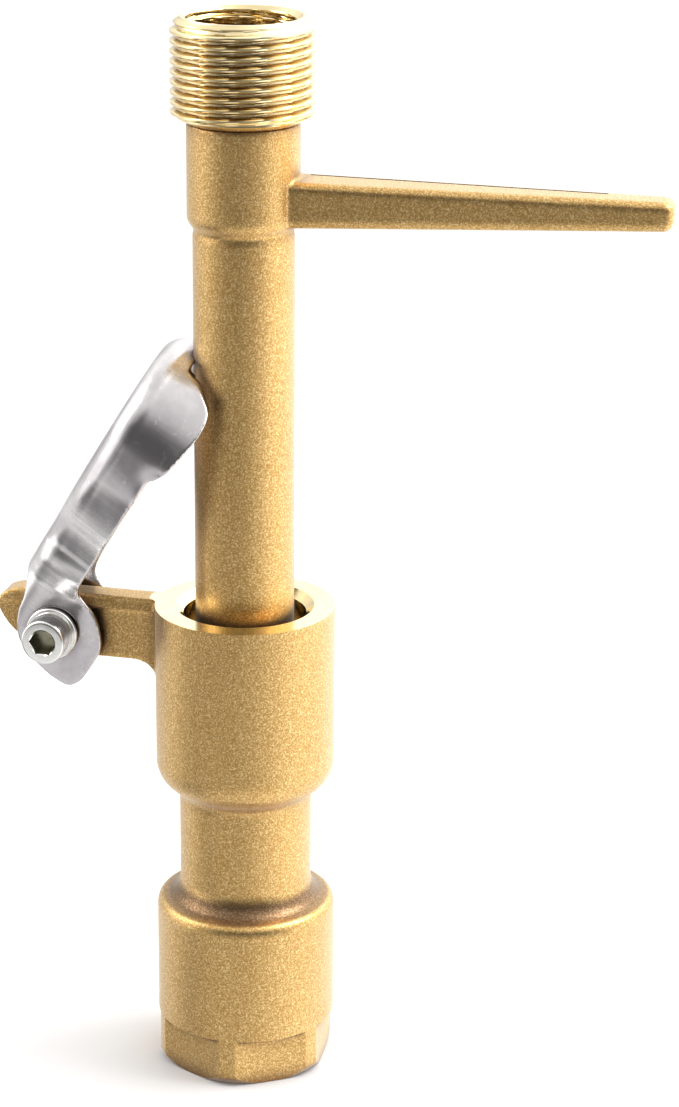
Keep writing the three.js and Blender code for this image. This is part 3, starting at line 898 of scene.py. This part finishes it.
def key_casting():
    profile = rounded(
        [
            (0, KEY_TIP), (TIP_R, KEY_TIP), (TIP_R, 42), (TUBE_R, 43.5), (TUBE_R, KEY_COLLAR_LOW - 1.3),
            (TUBE_R - 0.18, KEY_COLLAR_LOW - 0.7), (TUBE_R - 0.15, KEY_COLLAR_LOW - 0.1),
            (KEY_COLLAR_R - 0.3, KEY_COLLAR_LOW + 1), (KEY_COLLAR_R, KEY_COLLAR_LOW + 1.8),
            (KEY_COLLAR_R, KEY_COLLAR_HIGH), (0, KEY_COLLAR_HIGH),
        ],
        0.35,
        3,
    )
    return turned("key_body_fine", profile, CAST)


def handle_size(x):
    """Half width and the heights above and below the middle, at a distance from the key's axis."""
    along = (x - HANDLE_START) / (HANDLE_END - HANDLE_START)
    return HANDLE_HALF * (1 - HANDLE_TAPER * along), 4 - 1.5 * along, 4.6 - 1.8 * along


def handle():
    """The side handle: rounded rectangles that taper toward a blunt tip."""
    tip_round, stations, per_corner = 1.7, 70, 7
    points = []
    for i in range(stations + 1):
        x = HANDLE_START + (HANDLE_END - HANDLE_START) * (1 - (1 - i / stations) ** 1.5)
        half, top, bottom = handle_size(x)
        left = HANDLE_END - x
        inset = 0.0
        if left < tip_round:
            inset = tip_round * (1 - math.sqrt(max(0.0, 1 - (1 - left / tip_round) ** 2)))
        for cy, cz, first in ((1, 1, 0), (-1, 1, 90), (-1, -1, 180), (1, -1, 270)):
            height = (top if cz > 0 else bottom) - inset
            width = half - inset
            corner = min(1.45, height * 0.9, width * 0.9)
            for k in range(per_corner):
                angle = math.radians(first + 90 * k / (per_corner - 1))
                y = cy * (width - corner) + corner * math.cos(angle)
                z = HANDLE_Z + cz * (height - corner) + corner * math.sin(angle)
                points.append((x, y, z))
    return mesh_object("handle", points, capped_faces(stations + 1, 4 * per_corner), CAST)


def parting_line():
    """A hair-thin groove along the handle's top, where the two halves of the mould met."""
    points = []
    for x in (KEY_COLLAR_R + 1.5, HANDLE_END - 12):
        half, top, bottom = handle_size(x)
        for y in (half - 2.2, half - 1.6):
            points += [(x, y, HANDLE_Z + top - 0.5), (x, y, HANDLE_Z + top + 1)]
    faces = [(0, 1, 3, 2), (4, 5, 7, 6), (0, 1, 5, 4), (2, 3, 7, 6), (0, 2, 6, 4), (1, 3, 7, 5)]
    return mesh_object("parting_line", points, faces, CAST)


def thread_head():
    crest_low = HEAD_LOW + 0.1

    def radius_at(z):
        root = HEAD_CREST_R - THREAD_DEPTH
        if z < crest_low:
            rise = (z - HEAD_LOW + 0.9) / (crest_low - HEAD_LOW + 0.9)
            return KEY_COLLAR_R + 0.1 + (root - KEY_COLLAR_R - 0.1) * rise, 0.0
        share = min(1.0, (z - crest_low) / 0.3)
        chamfer = max(0.0, z - (KEY_TOP - 1.5))
        return root - 0.55 * chamfer, max(0.0, share * (1 - chamfer / 1.3))

    return threaded("thread_head", HEAD_LOW - 0.9, KEY_TOP, radius_at, PITCH, THREAD_DEPTH, MACHINED)


def outlet_cutter():
    low = KEY_TOP - OUTLET_DEPTH

    def radius_at(z):
        mouth = max(0.0, z - (KEY_TOP - 1.3))
        return OUTLET_R + mouth * 1.05, max(0.0, 1 - mouth / 0.9)

    return threaded("outlet_cutter", low, KEY_TOP + 0.6, radius_at, PITCH, THREAD_DEPTH, MACHINED)


def key_bore():
    low = KEY_TOP - OUTLET_DEPTH
    profile = [
        (0, KEY_TIP - 1), (TIP_BORE_R, KEY_TIP - 1), (TIP_BORE_R, 42), (TUBE_BORE_R, 44),
        (TUBE_BORE_R, low - 1.5), (OUTLET_R, low + 0.4), (OUTLET_R, low + 1), (0, low + 1),
    ]
    return turned("key_bore", profile, MACHINED)


def key_body():
    key = join(key_casting(), handle())
    for middle in (90, 270):
        first, last = middle - LUG_HALF, middle + LUG_HALF
        join(key, sector("lug", TUBE_R - 1, LUG_R, first, last, LUG_LOW, LUG_HIGH, CAST))
    melt(key, CAST_VOXEL, 3)
    low, high = O_RING_Z - 1.1, O_RING_Z + 1.1
    groove = ring("o_ring_groove", [(8.05, low), (11, low), (11, high), (8.05, high)], MACHINED)
    join(key, thread_head())
    cut(key, key_bore(), outlet_cutter(), groove, parting_line())
    for angle in (45, 135):
        outline = [(-15, -2.5), (15, -2.5), (15, 2.5), (-15, 2.5)]
        window = prism("window", outline, KEY_TIP - 1, KEY_TIP + 7, MACHINED, "Z")
        cut(key, moved(window, Matrix.Rotation(math.radians(angle), 4, "Z")))
    return shade(moved(key, Matrix.Rotation(KEY_TURN, 4, "Z")))


def key_o_ring():
    outline = []
    for i in range(20):
        angle = 2 * math.pi * i / 20
        c, s = math.cos(angle), math.sin(angle)
        outline.append((O_RING_R + O_RING_SECTION * c, O_RING_Z + O_RING_SECTION * s))
    return shade(ring("key_o_ring_fine", outline, RUBBER))


# ---- stage, light and camera ----

VIEW_TURN = math.radians(15)
VIEW_PITCH = math.radians(19.06)
WINDOW = (-0.936, -0.352, 0)
FAR_CORNER = (-0.70, 0.70, 0.15)
TABLE_EDGE = (-0.724, -0.382, -0.574)


def floor():
    """A plain pale floor that fades out with distance, so that the sweep has no edge."""
    size = 900
    outline = [(-size, -size), (size, -size), (size, size), (-size, size)]
    f = Finish("floor_paper", Roughness=0.9)
    f.shader.inputs["Base Color"].default_value = rgb(0.72, 0.72, 0.73)
    reach = f.node("ShaderNodeVectorMath", {0: f.place}, operation="LENGTH").outputs["Value"]
    seen = f.span(reach, 0.22, 0.60, 1.0, 0.0)
    mirrored = f.span(reach, 0.05, 0.24, 0.26, 0.0)
    in_metal = f.node("ShaderNodeLightPath").outputs["Is Glossy Ray"]
    directly = f.math("MULTIPLY", f.math("SUBTRACT", 1.0, in_metal), seen)
    f.link(f.math("ADD", f.math("MULTIPLY", in_metal, mirrored), directly), "Alpha")
    sheet = mesh_object("floor", [(x, y, -0.05) for x, y in outline], [(0, 1, 2, 3)], f.material)


def studio_sky():
    """A light tent that stands still in the world.

    It is bright all round, brighter on the right, high up behind and at a window on the left, and dim
    in front. The far left corner is a little dimmer, and the edge of the table is dark.
    """
    world = bpy.data.worlds.new("tent")
    bpy.context.scene.world = world
    world.use_nodes = True
    tree = world.node_tree
    tree.nodes.clear()

    def node(kind, inputs=None, **settings):
        return add_node(tree, kind, inputs, **settings)

    def along(direction, low, high, to_low, to_high):
        """Runs from to_low to to_high as the cosine to the direction goes from low to high."""
        dot = node("ShaderNodeVectorMath", {0: way, 1: direction}, operation="DOT_PRODUCT").outputs["Value"]
        inputs = {"Value": dot, "From Min": low, "From Max": high, "To Min": to_low, "To Max": to_high}
        return node("ShaderNodeMapRange", inputs, interpolation_type="SMOOTHSTEP").outputs["Result"]

    def math_node(operation, a, b):
        return node("ShaderNodeMath", {0: a, 1: b}, operation=operation).outputs[0]

    def times(a, b):
        return math_node("MULTIPLY", a, b)

    way = node("ShaderNodeTexCoord").outputs["Generated"]
    front = (math.sin(VIEW_TURN), -math.cos(VIEW_TURN), 0)
    right = (math.cos(VIEW_TURN), math.sin(VIEW_TURN), 0)
    up = (0, 0, 1)
    band = times(along(up, -0.40, -0.14, 0.05, 1.0), along(up, 0.34, 0.70, 1.0, 0.0))
    dim = times(along(front, 0.30, 0.86, 0.0, 1.0), band)
    behind = times(along(front, -0.9, 0.0, 0.45, 0.0), along(up, 0.05, 0.30, 0.0, 1.0))
    sides = times(along(right, -0.2, 0.8, 1.0, 1.85), math_node("ADD", 1.0, behind))
    window = along(WINDOW, 0.86, 0.98, 1.0, 1.6)
    far_corner = along(FAR_CORNER, 0.88, 0.98, 1.0, 0.76)
    table_edge = along(TABLE_EDGE, 0.90, 0.97, 1.0, 0.30)
    walls = times(times(sides, window), times(far_corner, table_edge))
    strength = times(walls, math_node("SUBTRACT", 1.0, times(dim, 0.82)))
    tent = node("ShaderNodeBackground", {"Color": rgb(1, 0.995, 0.985), "Strength": strength})
    white = node("ShaderNodeBackground", {"Color": rgb(1, 1, 1), "Strength": 1.05})
    seen = node("ShaderNodeLightPath").outputs["Is Camera Ray"]
    both = node("ShaderNodeMixShader", {0: seen, 1: tent.outputs[0], 2: white.outputs[0]})
    out = node("ShaderNodeOutputWorld")
    tree.links.new(both.outputs[0], out.inputs["Surface"])


def softbox(name, place, power):
    """A square lamp aimed at the middle of the part, in metres and watts."""
    light = bpy.data.lights.new(name, "AREA")
    light.shape = "SQUARE"
    light.size = 0.5
    light.energy = power
    made = bpy.data.objects.new(name, light)
    bpy.context.scene.collection.objects.link(made)
    made.location = place
    aim = Vector((0, 0, 0.1)) - Vector(place)
    made.rotation_euler = aim.to_track_quat("-Z", "Y").to_euler()


def camera():
    data = bpy.data.cameras.new("camera")
    data.sensor_width = 36
    data.lens = 103.99
    data.shift_x = 0.0590
    data.clip_start = 0.01
    made = bpy.data.objects.new("camera", data)
    bpy.context.scene.collection.objects.link(made)
    made.location = (0.1520, -0.5459, 0.2988)
    made.rotation_euler = (math.pi / 2 - VIEW_PITCH, 0, VIEW_TURN)
    bpy.context.scene.camera = made


def build():
    pieces = [
        (valve_body(), "valve", "brass", "valve_body"),
        (spring_guide(), "valve", "brass", "spring_guide"),
        (retaining_ring(), "valve", "steel", "guide_retaining_ring"),
        (poppet_stem(), "poppet", "brass", "poppet_stem"),
        (poppet_seal(), "poppet", "rubber", "poppet_seal"),
        (poppet_cap(), "poppet", "brass", "poppet_cap"),
        (cover(), "cover", "steel", "cover"),
        (hinge_screw(), "cover", "steel", "hinge_screw"),
        (washer("hinge_washer_front_fine", 1), "cover", "steel", "hinge_washer_front"),
        (washer("hinge_washer_rear_fine", -1), "cover", "steel", "hinge_washer_rear"),
        (hinge_nut(), "cover", "steel", "hinge_nut"),
        (key_body(), "key", "brass", "key_body"),
        (key_o_ring(), "key_carrier", "rubber", "key_o_ring"),
    ]
    for piece, body, slot, node in pieces:
        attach(piece, body)
        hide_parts(node)
    spring = return_spring()
    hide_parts("return_spring")
    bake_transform(spring)


build()
floor()
studio_sky()
softbox("key_light", (0.55, 0.15, 0.75), 5.0)
softbox("fill_light", (-0.6, -0.1, 0.5), 2.0)
camera()
bpy.context.scene.view_settings.view_transform = "Standard"
bpy.context.scene.view_settings.gamma = 0.85
